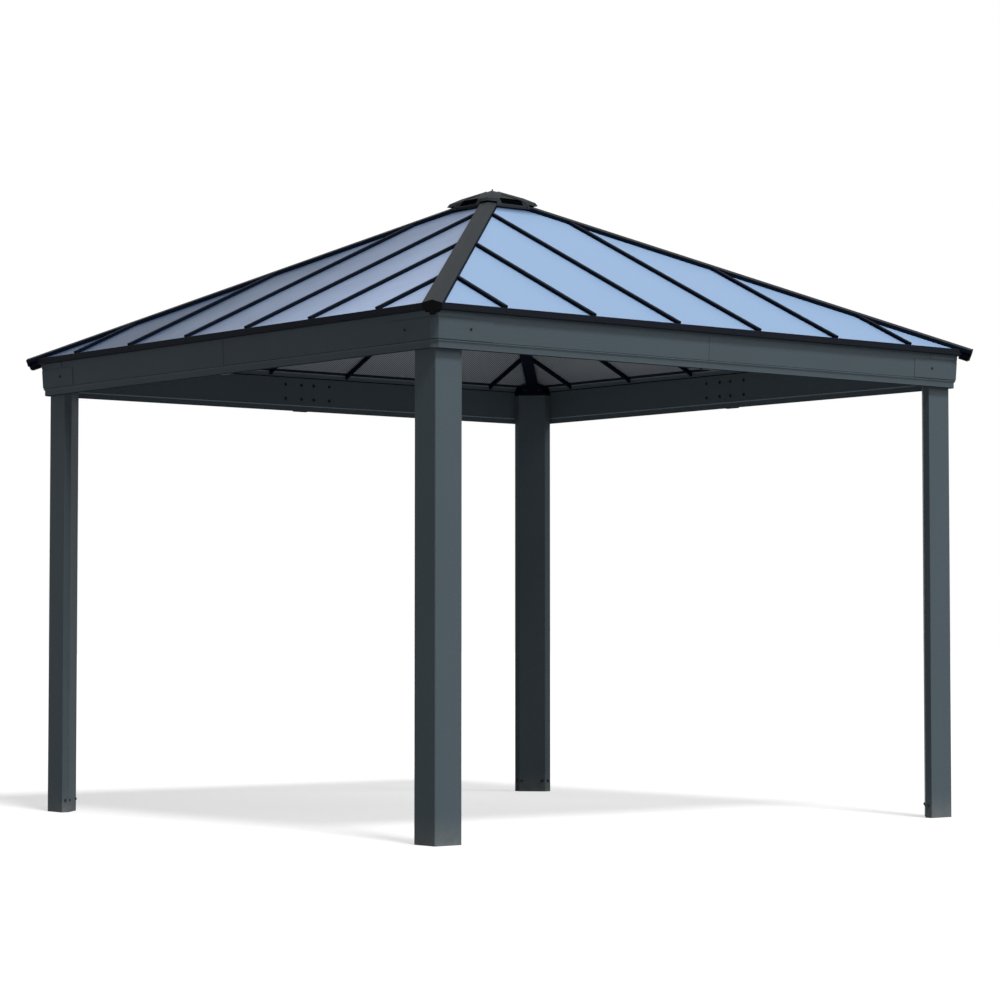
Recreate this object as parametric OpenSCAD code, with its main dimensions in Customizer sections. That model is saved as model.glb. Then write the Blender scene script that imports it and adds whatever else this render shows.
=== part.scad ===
// Four-post metal gazebo with a glazed pyramid roof.
// Units are millimetres, +Z is up, and the origin is on the ground at the middle of the plan.
// The front is -Y, the right is +X.

/* [Plan] */
// Middle of the plan to the outer face of a post
post_reach = 1720; // [1400:10:2100]
// Middle of the plan to the outer face of a beam
beam_reach = 1763; // [1440:1:2150]
// Middle of the plan to the outer face of an eave rail
eave_reach = 1792; // [1470:1:2180]

/* [Posts] */
// Width of each outer face of a post
post_w = 155; // [120:1:200]
// Depth of the narrow side that turns inward from each outer face
post_return = 42; // [30:1:60]
// Wall of the folded post
post_wall = 3; // [2:0.5:5]
// Top of a post, inside the beam ring
post_h = 2433; // [2400:1:2435]

/* [Beams] */
// Height of the clear way under the beams
beam_z = 2262; // [2100:1:2300]
// Height of the outer face of a beam
beam_face_h = 172; // [140:1:180]
// Height of the crease near the foot of the outer face
beam_band_h = 30; // [20:1:60]
// How far the foot of the outer face sits back
beam_band_in = 12; // [4:1:20]
// Bevel of the outer corner where two beams meet
beam_corner = 27; // [10:1:40]
// Offset of a beam's seam from its middle, towards the front left corner
seam_offset = 40; // [0:1:200]

/* [Roof] */
// Rise of the roof for each unit of run
roof_pitch = 0.48; // [0.4:0.01:0.55]
// Height at which the tops of the four glazing planes would meet
roof_apex_z = 3315; // [3200:1:3400]
// Thickness of the twin-wall glazing
panel_t = 6; // [4:1:10]
// Distance between two rafters
rafter_pitch = 542.5; // [400:0.5:560]
// Number of rafters on one slope
rafter_n = 6; // [6:2:6]
// Width of a rafter's cap above the glazing
rafter_w = 26; // [20:1:40]
// Height of a rafter's cap above the glazing
rafter_cap = 17; // [6:1:19]
// Width of a rafter's bar under the glazing
rafter_bar_w = 18; // [14:1:26]
// Depth of a rafter's bar under the glazing
rafter_d = 22; // [16:1:24]
// Width of the cover on a hip
hip_cover_w = 94; // [80:1:110]
// Height of a hip cover above the glazing
hip_cover_h = 21; // [12:1:24]
// Width of a hip rafter under the glazing
hip_w = 68; // [50:1:80]
// Depth of a hip rafter under the glazing
hip_d = 31; // [20:1:31]
// Middle of the plan to the low end of a hip, measured along X
hip_reach = 1807; // [1485:1:2200]
// Width of the square vent hood on the apex
hood_w = 354; // [340:2:370]

/* [Hidden] */
$fn = 32;
sides = ["front", "right", "back", "left"];
corners = ["front_left", "front_right", "back_right", "back_left"];

// Colours of the powder coat, the dark roof sections, the hip covers and the glazing
coat_color = [0.29, 0.34, 0.37];
dark_color = [0.13, 0.13, 0.14];
cover_color = [0.3, 0.3, 0.3];
glaze_color = [0.62, 0.72, 0.88, 0.6];

// Angles of a slope and of a hip
slope_angle = atan(roof_pitch);
hip_angle = atan(roof_pitch / sqrt(2));
// A hip's glazing planes fall this much for each unit across the hip
hip_fall = sin(hip_angle);

// Beam: creased outer face, inner face that sets back at the foot, and a band with a lip on top
beam_top = beam_z + beam_face_h;
beam_crease_out = beam_reach - beam_band_in / 2;
beam_crease_z = beam_z + beam_band_h;
crease_half = 3;
groove_d = 3;
beam_inner = post_reach;
beam_foot_out = 7;
beam_ledge = 10;
band_z = beam_z + 196;
band_out = 6;
band_lip_out = 14;
band_lip_h = 5;
band_gap = 5.5;
band_reach = beam_inner - band_lip_out;

// Foot plate and its anchor holes, measured from the outer corner of the post
foot_t = 8;
anchor_pitch = 60;
anchor_r = 5.5;
anchor_at = 52;

// Eave rail: a lip outside the low edge of the glazing, and a flange under it above the band
lip_w = 8;
lip_up = 10;
panel_low = eave_reach - lip_w;
cap_low = panel_low - rafter_cap * sin(slope_angle);
rail_inner = beam_inner + beam_ledge + 2;
flange_in = beam_inner - 30;
flange_t = 4.4;
notch_past = 8;

// Web of a rafter and of a hip, between neighbouring panes
web_w = 10;
hip_web_w = 24;
hip_web_gap = hip_web_w / sqrt(2);
hip_slot = panel_t * sqrt(1 + hip_fall * hip_fall);

// Tab on the low end of a rafter, against the beam's lip
tab_t = 8;
tab_z = band_z + 4;
tab_h = 24;

// Apex: hub, highest edge of the glazing, and hood
hub_r = 60;
hub_z = 3215;
hub_h = 80;
panel_high = 100;
hood_reach = hood_w / 2;
hood_z = 3240;
hood_top = 111;
slot_w = 150;

// High and low ends of a hip, measured down the slope of the hip
hip_cap_t = 8;
hip_start = hub_r + 12;
hip_length = sqrt(2) * hip_reach / cos(hip_angle);

// Splice plate under a beam's seam
splice_l = 90;
splice_w = 20;
splice_t = 4;

// Level of the top of the glazing at a distance from the middle, and of its underside
function glaze_z(d) = roof_apex_z - roof_pitch * d;
function under_z(d) = glaze_z(d) - panel_t / cos(slope_angle);

// Sides 0 to 3 run anticlockwise from the front, and corners from the front left
module at_side(k) rotate([0, 0, 90 * k]) children();

// Draws a profile given as [distance outward, height] along a front side, from x0 to x1
module along_side(x0, x1)
  translate([x0, 0, 0]) rotate([90, 0, 90]) linear_extrude(x1 - x0) mirror([1, 0]) children();

// Places flat outlines on the front glazing plane, in a layer between two levels above it
module slope_layer(low, high)
  translate([0, 0, roof_apex_z]) rotate([slope_angle, 0, 0])
    translate([0, 0, low]) linear_extrude(high - low) children();

// A point of such an outline, from its place along the side and its plan distance outward
function on_slope(x, d) = [x, -d / cos(slope_angle)];

// Sweeps a section, [across, above the glazing], down the front left hip between two lengths
module along_hip(u0, u1)
  translate([0, 0, roof_apex_z]) rotate([0, 0, -135]) rotate([0, hip_angle, 0])
    translate([u0, 0, 0]) rotate([90, 0, 90]) linear_extrude(u1 - u0) children();

// Upright slabs on the two hips of the front slope, to trim what meets a hip
module hip_slabs(w)
  for (a = [-45, -135])
    rotate([0, 0, a]) translate([0, -w / 2, 2000]) cube([3000, w, 2000]);

// ---- posts ----

module post_outline()
  polygon([
    [0, 0],
    [post_w, 0],
    [post_w, post_return],
    [post_return, post_w],
    [0, post_w]
  ]);

// Post at the front left corner: two outer faces, two narrow returns and a diagonal face inward
module post()
  color(coat_color)
    translate([-post_reach, -post_reach, 0])
      linear_extrude(post_h) difference() {
        post_outline();
        offset(delta = -post_wall) post_outline();
      }

module foot_plate()
  color(dark_color)
    translate([-post_reach, -post_reach, 0])
      difference() {
        linear_extrude(foot_t) offset(delta = -post_wall) post_outline();
        for (x = [-1, 1], y = [-1, 1])
          translate([anchor_at + x * anchor_pitch / 2, anchor_at + y * anchor_pitch / 2, -1])
            cylinder(r = anchor_r, h = foot_t + 2);
      }

// ---- beams ----

// Outer face of a beam: foot strip, crease, fine groove, and main face that leans out as it rises
beam_face = [
  [beam_reach - beam_band_in, beam_z],
  [beam_reach - beam_band_in, beam_crease_z - crease_half],
  [beam_crease_out, beam_crease_z + crease_half],
  [beam_crease_out, beam_crease_z + 2 * crease_half],
  [beam_crease_out - groove_d, beam_crease_z + 8],
  [beam_crease_out, beam_crease_z + 10],
  [beam_reach, beam_top]
];
function band_top(d) = under_z(d) - band_gap;

// Box section between two posts
module beam_box_outline()
  polygon(concat(beam_face, [
    [beam_inner + beam_ledge, beam_top],
    [beam_inner + beam_ledge, band_top(beam_inner + beam_ledge)],
    [band_reach, band_top(band_reach)],
    [band_reach, band_top(band_reach) - band_lip_h],
    [beam_inner - band_out, band_top(band_reach) - band_lip_h - 8],
    [beam_inner - band_out, band_z],
    [beam_inner, band_z - 4],
    [beam_inner, beam_crease_z + crease_half],
    [beam_inner + beam_foot_out, beam_crease_z - 5],
    [beam_inner + beam_foot_out, beam_z]
  ]));

// Outer skin that runs on past the post to the mitred corner
module beam_skin_outline()
  polygon(concat(beam_face, [
    [post_reach, beam_top],
    [post_reach, beam_z]
  ]));

// What the bevel takes off the front left corner, parallel to the outer face at every height
module corner_cut()
  rotate([0, 0, -135]) translate([0, 400, 0]) rotate([90, 0, 0]) linear_extrude(800)
    polygon(concat(
      [[corner_s(beam_reach - beam_band_in), beam_z - 10]],
      [for (p = beam_face) [corner_s(p[0]), p[1]]],
      [[corner_s(beam_reach), beam_top + 10], [3000, beam_top + 10], [3000, beam_z - 10]]
    ));
function corner_s(d) = sqrt(2) * d - beam_corner / sqrt(2);

// Left half of a front beam, from its bevelled mitre to the seam
module beam_half(seam)
  color(coat_color)
    difference() {
      union() {
        along_side(post_w - post_reach, seam) beam_box_outline();
        along_side(-beam_reach, seam) beam_skin_outline();
      }
      rotate([0, 0, 45]) translate([-4000, 0, 2000]) cube([4000, 400, 1000]);
      corner_cut();
    }

// The seams stand off towards the front left corner on all four sides
function seam_at(k) = k == 0 || k == 1 ? -seam_offset : seam_offset;

module beam_a(k) at_side(k) beam_half(seam_at(k));
module beam_b(k) at_side(k) mirror([1, 0, 0]) beam_half(-seam_at(k));

module beam_splices()
  color(dark_color)
    for (k = [0:3]) at_side(k)
      translate([seam_at(k) - splice_l / 2, -beam_reach + beam_band_in + 2, beam_z - splice_t])
        cube([splice_l, splice_w, splice_t]);

// ---- roof ----

// Rail on top of a beam, which carries the low edge of the glazing
module eave_rail()
  color(dark_color)
    difference() {
      along_side(-eave_reach, eave_reach)
        polygon([
          [eave_reach, beam_top],
          [eave_reach, glaze_z(eave_reach) + lip_up],
          [panel_low, glaze_z(eave_reach) + lip_up],
          [panel_low, under_z(panel_low)],
          [flange_in, under_z(flange_in)],
          [flange_in, under_z(flange_in) - flange_t],
          [rail_inner, under_z(rail_inner) - flange_t],
          [rail_inner, beam_top]
        ]);
      for (a = [-45, -135])
        rotate([0, 0, a]) translate([0, -hip_w / 2, 2000]) cube([3000, hip_w, 1000]);
      for (m = [0, 1]) mirror([m, 0, 0]) {
        rotate([0, 0, -135]) translate([0, -400, 2000]) cube([3000, 400, 1000]);
        along_hip(hip_start, hip_length) hip_cover_outline(hip_cover_w, hip_cover_h);
      }
      rafter_notches();
    }

// Strip up the slope that ends on the hip
module rafter_strip(x, w, low)
  polygon([
    on_slope(x - w / 2, low),
    on_slope(x + w / 2, low),
    on_slope(x + w / 2, abs(x + w / 2)),
    on_slope(x - w / 2, abs(x - w / 2))
  ]);

function rafter_x(i) = (i - (rafter_n - 1) / 2) * rafter_pitch;

// Bars under the glazing, each with a tab on its low end
module rafter_bars()
  for (i = [0 : rafter_n - 1]) {
    slope_layer(-panel_t - rafter_d, -panel_t)
      rafter_strip(rafter_x(i), rafter_bar_w, band_reach + panel_t * sin(slope_angle));
    translate([rafter_x(i) - rafter_bar_w / 2, -band_reach, tab_z]) cube([rafter_bar_w, tab_t, tab_h]);
  }

// Notches for those bars in the flange of an eave rail
module rafter_notches()
  for (i = [0 : rafter_n - 1])
    slope_layer(-panel_t - rafter_d, 0)
      rafter_strip(rafter_x(i), rafter_bar_w, band_reach + notch_past);

// Each rafter has a cap over the glazing, a web between the panes, and a bar under them
module rafters()
  color(dark_color) {
    for (i = [0 : rafter_n - 1]) {
      difference() {
        slope_layer(0, rafter_cap) rafter_strip(rafter_x(i), rafter_w, cap_low);
        hip_slabs(hip_cover_w);
      }
      difference() {
        slope_layer(-panel_t, 0) rafter_strip(rafter_x(i), web_w, panel_low);
        hip_slabs(hip_w);
      }
    }
    difference() {
      rafter_bars();
      hip_slabs(hip_w);
    }
  }

// Panes run from the eave up to the hip, or up to the hood in the middle of a slope
module pane(x0, x1)
  polygon([
    on_slope(x0, panel_low),
    on_slope(x1, panel_low),
    on_slope(x1, x1 + hip_web_gap),
    on_slope(x0, x0 + hip_web_gap)
  ]);

module corner_pane(x0)
  polygon([
    on_slope(x0, panel_low),
    on_slope(panel_low - hip_web_gap, panel_low),
    on_slope(x0, x0 + hip_web_gap)
  ]);

module middle_pane(x)
  polygon([
    on_slope(-x, panel_low),
    on_slope(x, panel_low),
    on_slope(x, x + hip_web_gap),
    on_slope(panel_high - hip_web_gap, panel_high),
    on_slope(hip_web_gap - panel_high, panel_high),
    on_slope(-x, x + hip_web_gap)
  ]);

module panels()
  color(glaze_color)
    difference() {
      slope_layer(-panel_t, 0) {
        middle_pane(rafter_pitch / 2 - web_w / 2);
        for (m = [0, 1]) mirror([m, 0]) {
          for (i = [0.5, 1.5])
            pane(i * rafter_pitch + web_w / 2, (i + 1) * rafter_pitch - web_w / 2);
          corner_pane(2.5 * rafter_pitch + web_w / 2);
        }
      }
      hip_slabs(hip_web_w);
    }

// ---- hips ----

// Web between the panes of two slopes, on a bar under them
module hip_rafter()
  color(dark_color)
    along_hip(hip_start, hip_length - hip_cap_t)
      polygon([
        [-hip_web_w / 2, -hip_fall * hip_web_w / 2],
        [0, 0],
        [hip_web_w / 2, -hip_fall * hip_web_w / 2],
        [hip_web_w / 2, -hip_fall * hip_web_w / 2 - hip_slot],
        [hip_w / 2, -hip_fall * hip_w / 2 - hip_slot],
        [hip_w / 2, -hip_slot - hip_d],
        [-hip_w / 2, -hip_slot - hip_d],
        [-hip_w / 2, -hip_fall * hip_w / 2 - hip_slot],
        [-hip_web_w / 2, -hip_fall * hip_web_w / 2 - hip_slot]
      ]);

// Folded cover over the edges of the panes of two slopes
module hip_cover_outline(w, h)
  polygon([
    [0, 0],
    [w / 2, -hip_fall * w / 2],
    [w / 2, h - hip_fall * w / 2],
    [0, h],
    [-w / 2, h - hip_fall * w / 2],
    [-w / 2, -hip_fall * w / 2]
  ]);

module hip_cover()
  color(cover_color)
    along_hip(hip_start, hip_length - hip_cap_t) hip_cover_outline(hip_cover_w, hip_cover_h);

// Moulded plate square to the hip, which closes its low end, with a small pointed tongue
module hip_end_cap()
  color(dark_color)
    along_hip(hip_length - hip_cap_t, hip_length)
      polygon([
        [0, hip_cover_h + 1],
        [hip_cover_w / 2 + 1, hip_cover_h - 14],
        [hip_cover_w / 2 - 3, -29],
        [15, -29],
        [6, -hip_slot - hip_d - 8],
        [-6, -hip_slot - hip_d - 8],
        [-15, -29],
        [3 - hip_cover_w / 2, -29],
        [-hip_cover_w / 2 - 1, hip_cover_h - 14]
      ]);

// Cap plate on the top of each post, and a gusset from it up to the hip
cap_plate_t = 17;
cap_plate_out = 2;
bracket_s = sqrt(2) * (post_reach - (post_w + post_return) / 2);
bracket_l = 38;
bracket_w = 136;
function hip_under_z(s) = roof_apex_z - roof_pitch / sqrt(2) * s - (hip_slot + hip_d) / cos(hip_angle);

module cap_plate()
  translate([-post_reach, -post_reach, post_h]) linear_extrude(cap_plate_t)
    polygon([
      [0, 0],
      [post_w + cap_plate_out, 0],
      [post_w + cap_plate_out, post_return + cap_plate_out / 2],
      [post_return + cap_plate_out / 2, post_w + cap_plate_out],
      [0, post_w + cap_plate_out]
    ]);

module hip_gusset()
  rotate([0, 0, -135]) translate([0, bracket_w / 2, 0]) rotate([90, 0, 0]) linear_extrude(bracket_w)
    polygon([
      [bracket_s, post_h + cap_plate_t],
      [bracket_s + bracket_l, post_h + cap_plate_t],
      [bracket_s + bracket_l, hip_under_z(bracket_s + bracket_l)],
      [bracket_s, hip_under_z(bracket_s)]
    ]);

module hip_brackets()
  color(dark_color)
    for (k = [0:3]) at_side(k) {
      cap_plate();
      hip_gusset();
    }

// ---- apex ----

module apex_hub()
  color(dark_color)
    translate([0, 0, hub_z]) rotate([0, 0, 22.5]) cylinder(r = hub_r, h = hub_h, $fn = 8);

// Straight bar with a profile, [outward, up], mirrored about its middle
module hood_bar(half)
  rotate([90, 0, 0]) linear_extrude(2 * hood_w, center = true)
    polygon(concat(half, [for (i = [len(half) - 1 : -1 : 0]) [-half[i][0], half[i][1]]]));

// Solid with the same profile on all four sides
module four_sided(half)
  intersection() {
    hood_bar(half);
    rotate([0, 0, 90]) hood_bar(half);
  }

// Vent hood: a flange, a dark slot on each side, and a saddle over each hip cover
hood_face = [
  [hood_reach, 0],
  [hood_reach, 14],
  [hood_reach - 14, 40],
  [hood_reach - 59, 66],
  [20, 107],
  [8, hood_top]
];
hood_wall = 5;
module vent_hood()
  color(cover_color)
    translate([0, 0, hood_z])
      difference() {
        four_sided(hood_face);
        four_sided([for (p = hood_face) [max(3, p[0] - hood_wall), p[1] - hood_wall]]);
        for (k = [0:3]) at_side(k) {
          translate([-slot_w / 2, -hood_reach - 1, 19]) cube([slot_w, 80, 35]);
          translate([0, 0, -hood_z]) along_hip(0, 400)
            hip_cover_outline(hip_cover_w + 6, hip_cover_h + 14);
        }
      }

module finial()
  color(dark_color)
    translate([0, 0, hood_z + hood_top]) cylinder(r = 4, h = 10);

for (k = [0:3]) {
  at_side(k) post();
  at_side(k) foot_plate();
  beam_a(k);
  beam_b(k);
  at_side(k) eave_rail();
  at_side(k) rafters();
  at_side(k) panels();
  at_side(k) hip_rafter();
  at_side(k) hip_cover();
  at_side(k) hip_end_cap();
}
beam_splices();
hip_brackets();
apex_hub();
vent_hood();
finial();
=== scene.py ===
# %% [markdown]
# This lesson dresses a four-post metal gazebo. The construction model comes in as a fixed frame:
# every post, beam, rafter and pane already has its real shape, size and place. What is left to
# make is what the eye reads as metal and glazing: rounded folds, lapped seams, bolt heads, the
# moulded ends of the hips, the slats of the vent hood, and the finishes.

import math

import bmesh
import bpy
from mathutils import Matrix, Vector


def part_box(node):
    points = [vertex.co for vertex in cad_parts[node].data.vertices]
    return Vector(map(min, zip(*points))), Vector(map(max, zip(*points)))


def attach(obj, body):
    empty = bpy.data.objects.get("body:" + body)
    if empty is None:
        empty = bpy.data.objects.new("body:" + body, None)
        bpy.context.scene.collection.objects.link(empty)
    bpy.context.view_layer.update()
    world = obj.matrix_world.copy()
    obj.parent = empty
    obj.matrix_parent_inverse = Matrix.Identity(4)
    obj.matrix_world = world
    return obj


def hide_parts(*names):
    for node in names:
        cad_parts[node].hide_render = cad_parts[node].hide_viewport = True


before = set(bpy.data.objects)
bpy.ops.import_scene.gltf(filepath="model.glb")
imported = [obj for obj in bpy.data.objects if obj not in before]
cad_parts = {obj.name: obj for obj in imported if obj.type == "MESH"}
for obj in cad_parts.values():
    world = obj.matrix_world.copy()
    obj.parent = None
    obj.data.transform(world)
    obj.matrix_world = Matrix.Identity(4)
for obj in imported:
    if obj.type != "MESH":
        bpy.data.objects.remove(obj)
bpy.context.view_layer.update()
SIDES = ["front", "right", "back", "left"]
CORNERS = ["front_left", "front_right", "back_right", "back_left"]
QUARTER = [Matrix.Rotation(math.radians(90 * k), 4, "Z") for k in range(4)]

# %% [markdown]
# The camera stands thirteen metres away at waist height and looks slightly up, past the front
# left corner. A long lens keeps the posts nearly upright and the roof flat.

# %% Camera
CAMERA_PLACE = (-9.82508, -12.18995, 0.95007)
CAMERA_PITCH = 2.674
CAMERA_YAW = -39.02
SENSOR, FOCAL_LENGTH = 36.0, 104.98
camera_data = bpy.data.cameras.new("camera")
camera_data.sensor_width = SENSOR
camera_data.lens = FOCAL_LENGTH
camera_data.clip_end = 400.0
camera = bpy.data.objects.new("camera", camera_data)
camera.location = CAMERA_PLACE
camera.rotation_euler = (math.radians(90 + CAMERA_PITCH), 0, math.radians(CAMERA_YAW))
bpy.context.scene.collection.objects.link(camera)
bpy.context.scene.camera = camera
print("camera at", CAMERA_PLACE)

# %% [markdown]
# Materials come first, because each piece is given its finish when it is made. Each finish is a
# small node tree on Object coordinates, so its grain stays in place whatever the shape. The
# effects are node groups, built once: the fine texture of powder coat, the dust that settles on
# everything, the flutes of the glazing, and the grime of its weather side.

# %% Node helpers
def new_group(name, inputs, outputs):
    """A shader node group with named sockets, its input and output nodes placed."""
    tree = bpy.data.node_groups.new(name, "ShaderNodeTree")
    for label, kind, value in inputs:
        socket = tree.interface.new_socket(label, in_out="INPUT", socket_type=kind)
        if value is not None:
            socket.default_value = value
    for label, kind in outputs:
        tree.interface.new_socket(label, in_out="OUTPUT", socket_type=kind)
    return tree, tree.nodes.new("NodeGroupInput"), tree.nodes.new("NodeGroupOutput")


def wire(tree, source, target):
    """Links an output socket to an input socket."""
    tree.links.new(source, target)


def math_node(tree, operation, first, second=None, clamp=False):
    """A Math node whose two values are sockets or numbers. Returns its output."""
    node = tree.nodes.new("ShaderNodeMath")
    node.operation = operation
    node.use_clamp = clamp
    for slot, value in enumerate((first, second)):
        if isinstance(value, bpy.types.NodeSocket):
            wire(tree, value, node.inputs[slot])
        elif value is not None:
            node.inputs[slot].default_value = value
    return node.outputs[0]


def noise_node(tree, vector, scale, detail=2.0, rough=0.5):
    """Noise on a vector. The scale may be a socket or a number. Returns the value output."""
    node = tree.nodes.new("ShaderNodeTexNoise")
    node.inputs["Detail"].default_value = detail
    node.inputs["Roughness"].default_value = rough
    wire(tree, vector, node.inputs["Vector"])
    if isinstance(scale, bpy.types.NodeSocket):
        wire(tree, scale, node.inputs["Scale"])
    else:
        node.inputs["Scale"].default_value = scale
    return node.outputs[0]


def mixed(tree, factor, first, second):
    """A colour mix. The factor and the colours may be sockets or values."""
    node = tree.nodes.new("ShaderNodeMix")
    node.data_type = "RGBA"
    for slot, value in ((0, factor), (6, first), (7, second)):
        if isinstance(value, bpy.types.NodeSocket):
            wire(tree, value, node.inputs[slot])
        else:
            node.inputs[slot].default_value = value
    return node.outputs[2]


print("node helpers ready")

# %% [markdown]
# Powder coat isn't smooth. It has the skin of an orange, with cells about two millimetres wide,
# its tone drifts slightly over half a metre, and it is speckled a little. Three noises give a
# Tone, to multiply the colour with, and a Height for a Bump node.

# %% Node group: powder coat
powder, powder_in, powder_out = new_group(
    "powder_coat",
    [("Vector", "NodeSocketVector", None), ("Cells", "NodeSocketFloat", 420.0),
     ("Drift", "NodeSocketFloat", 0.05), ("Speckle", "NodeSocketFloat", 0.05)],
    [("Tone", "NodeSocketFloat"), ("Height", "NodeSocketFloat")])
cells = noise_node(powder, powder_in.outputs["Vector"], powder_in.outputs["Cells"], 1.0)
DRIFT_SCALE, SPECKLE_SCALE = 1.7, 75.0
drift = noise_node(powder, powder_in.outputs["Vector"], DRIFT_SCALE, 3.0)
speckle = noise_node(powder, powder_in.outputs["Vector"], SPECKLE_SCALE, 2.0, 0.7)
drift = math_node(powder, "MULTIPLY", math_node(powder, "SUBTRACT", drift, 0.5),
                  powder_in.outputs["Drift"])
speckle = math_node(powder, "MULTIPLY", math_node(powder, "SUBTRACT", speckle, 0.5),
                    powder_in.outputs["Speckle"])
tone = math_node(powder, "ADD", math_node(powder, "ADD", 1.0, drift), speckle)
wire(powder, tone, powder_out.inputs["Tone"])
wire(powder, cells, powder_out.inputs["Height"])
print("group", powder.name)

# %% [markdown]
# Outdoor metal is never quite clean. A thin film lies on what faces up, and rain splashes grit
# against the last few centimetres above the ground. The group gives one Mask for both, broken up
# by noise so that it has no edge.

# %% Node group: dust
SPLASH_TOP = 0.16
dust, dust_in, dust_out = new_group(
    "settled_dust",
    [("Vector", "NodeSocketVector", None), ("On Top", "NodeSocketFloat", 0.12),
     ("Splash", "NodeSocketFloat", 0.2)],
    [("Mask", "NodeSocketFloat")])
geometry = dust.nodes.new("ShaderNodeNewGeometry")
facing = dust.nodes.new("ShaderNodeSeparateXYZ")
place = dust.nodes.new("ShaderNodeSeparateXYZ")
wire(dust, geometry.outputs["Normal"], facing.inputs[0])
wire(dust, dust_in.outputs["Vector"], place.inputs[0])
patches = noise_node(dust, dust_in.outputs["Vector"], 22.0, 5.0, 0.65)
upward = math_node(dust, "MULTIPLY", math_node(dust, "MULTIPLY", facing.outputs["Z"], 1.0, True),
                   dust_in.outputs["On Top"])
near_ground = math_node(dust, "DIVIDE", place.outputs["Z"], SPLASH_TOP)
near_ground = math_node(dust, "SUBTRACT", 1.0, near_ground, True)
near_ground = math_node(dust, "MULTIPLY", math_node(dust, "MULTIPLY", near_ground, near_ground),
                        dust_in.outputs["Splash"])
film = math_node(dust, "MULTIPLY", math_node(dust, "ADD", upward, near_ground), patches, True)
wire(dust, film, dust_out.inputs["Mask"])
print("group", dust.name)

# %% [markdown]
# Twin-wall glazing is two thin skins held apart by ribs that run down the slope. From a few
# metres the ribs read as fine lines. The roof has slopes on both axes, so the group looks at
# which way the surface faces, and counts ribs across that slope.

# %% Node group: flutes
flutes, flutes_in, flutes_out = new_group(
    "flutes",
    [("Vector", "NodeSocketVector", None), ("Pitch", "NodeSocketFloat", 0.016)],
    [("Rib", "NodeSocketFloat"), ("Underside", "NodeSocketFloat")])
geometry = flutes.nodes.new("ShaderNodeNewGeometry")
facing = flutes.nodes.new("ShaderNodeSeparateXYZ")
place = flutes.nodes.new("ShaderNodeSeparateXYZ")
wire(flutes, geometry.outputs["Normal"], facing.inputs[0])
wire(flutes, flutes_in.outputs["Vector"], place.inputs[0])
along_x = math_node(flutes, "GREATER_THAN",
                    math_node(flutes, "ABSOLUTE", facing.outputs["Y"]),
                    math_node(flutes, "ABSOLUTE", facing.outputs["X"]))
across = flutes.nodes.new("ShaderNodeMix")
wire(flutes, along_x, across.inputs["Factor"])
wire(flutes, place.outputs["Y"], across.inputs[2])
wire(flutes, place.outputs["X"], across.inputs[3])
step = math_node(flutes, "FRACT", math_node(flutes, "DIVIDE", across.outputs[0],
                                            flutes_in.outputs["Pitch"]))
RIB_START, RIB_SHARPNESS = 0.28, 7.0
rib = math_node(flutes, "ABSOLUTE", math_node(flutes, "SUBTRACT", step, 0.5))
rib = math_node(flutes, "SUBTRACT", rib, RIB_START)
rib = math_node(flutes, "MULTIPLY", rib, RIB_SHARPNESS, True)
wire(flutes, rib, flutes_out.inputs["Rib"])
wire(flutes, math_node(flutes, "LESS_THAN", facing.outputs["Z"], 0.0),
     flutes_out.inputs["Underside"])
print("group", flutes.name)

# %% [markdown]
# Painted shade lies on the slope of the roof that faces -X. It is light at the front corner and
# dark towards the back. The group tells that side, and how far back a point is. The
# slope leans out by 25 degrees, so the X of its normal is multiplied up to a full mask.

# %% Node group: painted side shade
side_shade, side_shade_in, side_shade_out = new_group(
    "painted_side_shade",
    [("Vector", "NodeSocketVector", None), ("Front", "NodeSocketFloat", -1.35),
     ("Run", "NodeSocketFloat", 2.2)],
    [("Side", "NodeSocketFloat"), ("Along", "NodeSocketFloat")])
geometry = side_shade.nodes.new("ShaderNodeNewGeometry")
facing = side_shade.nodes.new("ShaderNodeSeparateXYZ")
place = side_shade.nodes.new("ShaderNodeSeparateXYZ")
wire(side_shade, geometry.outputs["Normal"], facing.inputs[0])
wire(side_shade, side_shade_in.outputs["Vector"], place.inputs[0])
# The mask of the painted shade: full on the -X slope, growing towards the back, with blotches.
FULL_SIDE, BLOTCH = -2.3, 0.35
wire(side_shade, math_node(side_shade, "MULTIPLY", facing.outputs["X"], FULL_SIDE, True),
     side_shade_out.inputs["Side"])
back = math_node(side_shade, "SUBTRACT", place.outputs["Y"], side_shade_in.outputs["Front"])
back = math_node(side_shade, "DIVIDE", back, side_shade_in.outputs["Run"])
blotches = noise_node(side_shade, side_shade_in.outputs["Vector"], 3.0, 4.0, 0.6)
blotches = math_node(side_shade, "MULTIPLY", math_node(side_shade, "SUBTRACT", blotches, 0.5), BLOTCH)
wire(side_shade, math_node(side_shade, "ADD", back, blotches, True), side_shade_out.inputs["Along"])
print("group", side_shade.name)

# %% [markdown]
# All the metal and the black mouldings are coated surfaces that differ in a few values, so one
# function builds them: the colour times the Tone, dust over it, a duller sheen where the dust is,
# and the cells of the coat as a bump of less than half a millimetre.

# %% Coats
DUST_COLOUR = (0.28, 0.27, 0.25, 1)
DUST_DULLS = 0.5
COAT_RELIEF = 0.0004


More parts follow.
